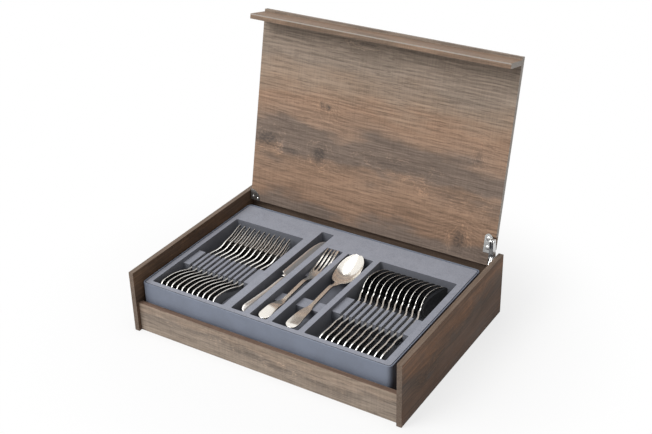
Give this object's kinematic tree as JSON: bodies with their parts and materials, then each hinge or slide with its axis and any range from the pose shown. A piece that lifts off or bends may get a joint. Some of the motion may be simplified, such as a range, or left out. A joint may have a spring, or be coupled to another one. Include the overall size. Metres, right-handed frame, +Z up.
{
  "type": "silverware chest",
  "caption": "Low wooden chest with a hinged lid on a stay, holding stacked flocked trays of knives, forks and spoons on edge in slotted ridges.",
  "frame": {"origin": "on the underside of the bottom panel, under the middle of the case", "axes": "+X to the right seen from the front, +Y from the front board to the back board, +Z up; the lid is open at rest"},
  "size_m": [0.46, 0.3771, 0.4034],
  "materials": {
    "dark_wood": "satin",
    "warm_wood": "satin",
    "pale_wood": "satin",
    "dowel_wood": "matte",
    "tray_plastic": "satin",
    "flock": "matte",
    "dark_steel": "satin",
    "bright_steel": "gloss",
    "cutlery_steel": "polished"
  },
  "bodies": {
    "case": {"left_side": "dark_wood", "right_side": "dark_wood", "front_board": "pale_wood", "back_board": "warm_wood", "bottom_panel": "warm_wood", "case_dowels": "dowel_wood", "bottom_dowels": "dowel_wood", "left_pivot_pin": "bright_steel", "stay_case_plate": "dark_steel", "stay_case_leaves": "bright_steel", "stay_case_rivet": "dark_steel", "stay_case_screws": "bright_steel", "stay_pivot_pin": "bright_steel", "lower_tray": "tray_plastic", "lower_insert": "flock", "lower_knives": "cutlery_steel"},
    "lid": {"lid_panel": "warm_wood", "lid_front_strip": "pale_wood", "strip_dowels": "dowel_wood", "left_corner_plate": "dark_steel", "left_corner_screws": "bright_steel", "stay_lid_plate": "bright_steel", "stay_lid_leaves": "bright_steel", "stay_lid_rivet": "dark_steel", "stay_lid_screws": "bright_steel"},
    "upper_tray": {"upper_tray": "tray_plastic", "upper_insert": "flock"},
    "display_knife": {"display_knife": "cutlery_steel"},
    "display_fork": {"display_fork": "cutlery_steel"},
    "display_spoon": {"display_spoon": "cutlery_steel"},
    "fork_01": {"fork_01": "cutlery_steel"},
    "fork_02": {"fork_02": "cutlery_steel"},
    "fork_03": {"fork_03": "cutlery_steel"},
    "fork_04": {"fork_04": "cutlery_steel"},
    "fork_05": {"fork_05": "cutlery_steel"},
    "fork_06": {"fork_06": "cutlery_steel"},
    "fork_07": {"fork_07": "cutlery_steel"},
    "fork_08": {"fork_08": "cutlery_steel"},
    "fork_09": {"fork_09": "cutlery_steel"},
    "fork_10": {"fork_10": "cutlery_steel"},
    "fork_11": {"fork_11": "cutlery_steel"},
    "spoon_01": {"spoon_01": "cutlery_steel"},
    "spoon_02": {"spoon_02": "cutlery_steel"},
    "spoon_03": {"spoon_03": "cutlery_steel"},
    "spoon_04": {"spoon_04": "cutlery_steel"},
    "spoon_05": {"spoon_05": "cutlery_steel"},
    "spoon_06": {"spoon_06": "cutlery_steel"},
    "spoon_07": {"spoon_07": "cutlery_steel"},
    "spoon_08": {"spoon_08": "cutlery_steel"},
    "spoon_09": {"spoon_09": "cutlery_steel"},
    "spoon_10": {"spoon_10": "cutlery_steel"},
    "spoon_11": {"spoon_11": "cutlery_steel"}
  },
  "joints": [
    {"name": "lid_hinge", "type": "hinge", "parent": "case", "child": "lid", "pos_m": [0, 0.148, 0.099], "axis": [-1, 0, 0], "range_deg": [-102.3, 0]},
    {"name": "upper_tray_lift", "type": "slide", "parent": "case", "child": "upper_tray", "axis": [0, 0, 1], "range_m": [0, 0.1]},
    {"name": "display_knife_lift", "type": "slide", "parent": "upper_tray", "child": "display_knife", "axis": [0, 0, 1], "range_m": [0, 0.06]},
    {"name": "display_fork_lift", "type": "slide", "parent": "upper_tray", "child": "display_fork", "axis": [0, 0, 1], "range_m": [0, 0.06]},
    {"name": "display_spoon_lift", "type": "slide", "parent": "upper_tray", "child": "display_spoon", "axis": [0, 0, 1], "range_m": [0, 0.06]},
    {"name": "fork_01_lift", "type": "slide", "parent": "upper_tray", "child": "fork_01", "axis": [0, 0, 1], "range_m": [0, 0.06]},
    {"name": "fork_02_lift", "type": "slide", "parent": "upper_tray", "child": "fork_02", "axis": [0, 0, 1], "range_m": [0, 0.06]},
    {"name": "fork_03_lift", "type": "slide", "parent": "upper_tray", "child": "fork_03", "axis": [0, 0, 1], "range_m": [0, 0.06]},
    {"name": "fork_04_lift", "type": "slide", "parent": "upper_tray", "child": "fork_04", "axis": [0, 0, 1], "range_m": [0, 0.06]},
    {"name": "fork_05_lift", "type": "slide", "parent": "upper_tray", "child": "fork_05", "axis": [0, 0, 1], "range_m": [0, 0.06]},
    {"name": "fork_06_lift", "type": "slide", "parent": "upper_tray", "child": "fork_06", "axis": [0, 0, 1], "range_m": [0, 0.06]},
    {"name": "fork_07_lift", "type": "slide", "parent": "upper_tray", "child": "fork_07", "axis": [0, 0, 1], "range_m": [0, 0.06]},
    {"name": "fork_08_lift", "type": "slide", "parent": "upper_tray", "child": "fork_08", "axis": [0, 0, 1], "range_m": [0, 0.06]},
    {"name": "fork_09_lift", "type": "slide", "parent": "upper_tray", "child": "fork_09", "axis": [0, 0, 1], "range_m": [0, 0.06]},
    {"name": "fork_10_lift", "type": "slide", "parent": "upper_tray", "child": "fork_10", "axis": [0, 0, 1], "range_m": [0, 0.06]},
    {"name": "fork_11_lift", "type": "slide", "parent": "upper_tray", "child": "fork_11", "axis": [0, 0, 1], "range_m": [0, 0.06]},
    {"name": "spoon_01_lift", "type": "slide", "parent": "upper_tray", "child": "spoon_01", "axis": [0, 0, 1], "range_m": [0, 0.06]},
    {"name": "spoon_02_lift", "type": "slide", "parent": "upper_tray", "child": "spoon_02", "axis": [0, 0, 1], "range_m": [0, 0.06]},
    {"name": "spoon_03_lift", "type": "slide", "parent": "upper_tray", "child": "spoon_03", "axis": [0, 0, 1], "range_m": [0, 0.06]},
    {"name": "spoon_04_lift", "type": "slide", "parent": "upper_tray", "child": "spoon_04", "axis": [0, 0, 1], "range_m": [0, 0.06]},
    {"name": "spoon_05_lift", "type": "slide", "parent": "upper_tray", "child": "spoon_05", "axis": [0, 0, 1], "range_m": [0, 0.06]},
    {"name": "spoon_06_lift", "type": "slide", "parent": "upper_tray", "child": "spoon_06", "axis": [0, 0, 1], "range_m": [0, 0.06]},
    {"name": "spoon_07_lift", "type": "slide", "parent": "upper_tray", "child": "spoon_07", "axis": [0, 0, 1], "range_m": [0, 0.06]},
    {"name": "spoon_08_lift", "type": "slide", "parent": "upper_tray", "child": "spoon_08", "axis": [0, 0, 1], "range_m": [0, 0.06]},
    {"name": "spoon_09_lift", "type": "slide", "parent": "upper_tray", "child": "spoon_09", "axis": [0, 0, 1], "range_m": [0, 0.06]},
    {"name": "spoon_10_lift", "type": "slide", "parent": "upper_tray", "child": "spoon_10", "axis": [0, 0, 1], "range_m": [0, 0.06]},
    {"name": "spoon_11_lift", "type": "slide", "parent": "upper_tray", "child": "spoon_11", "axis": [0, 0, 1], "range_m": [0, 0.06]}
  ]
}
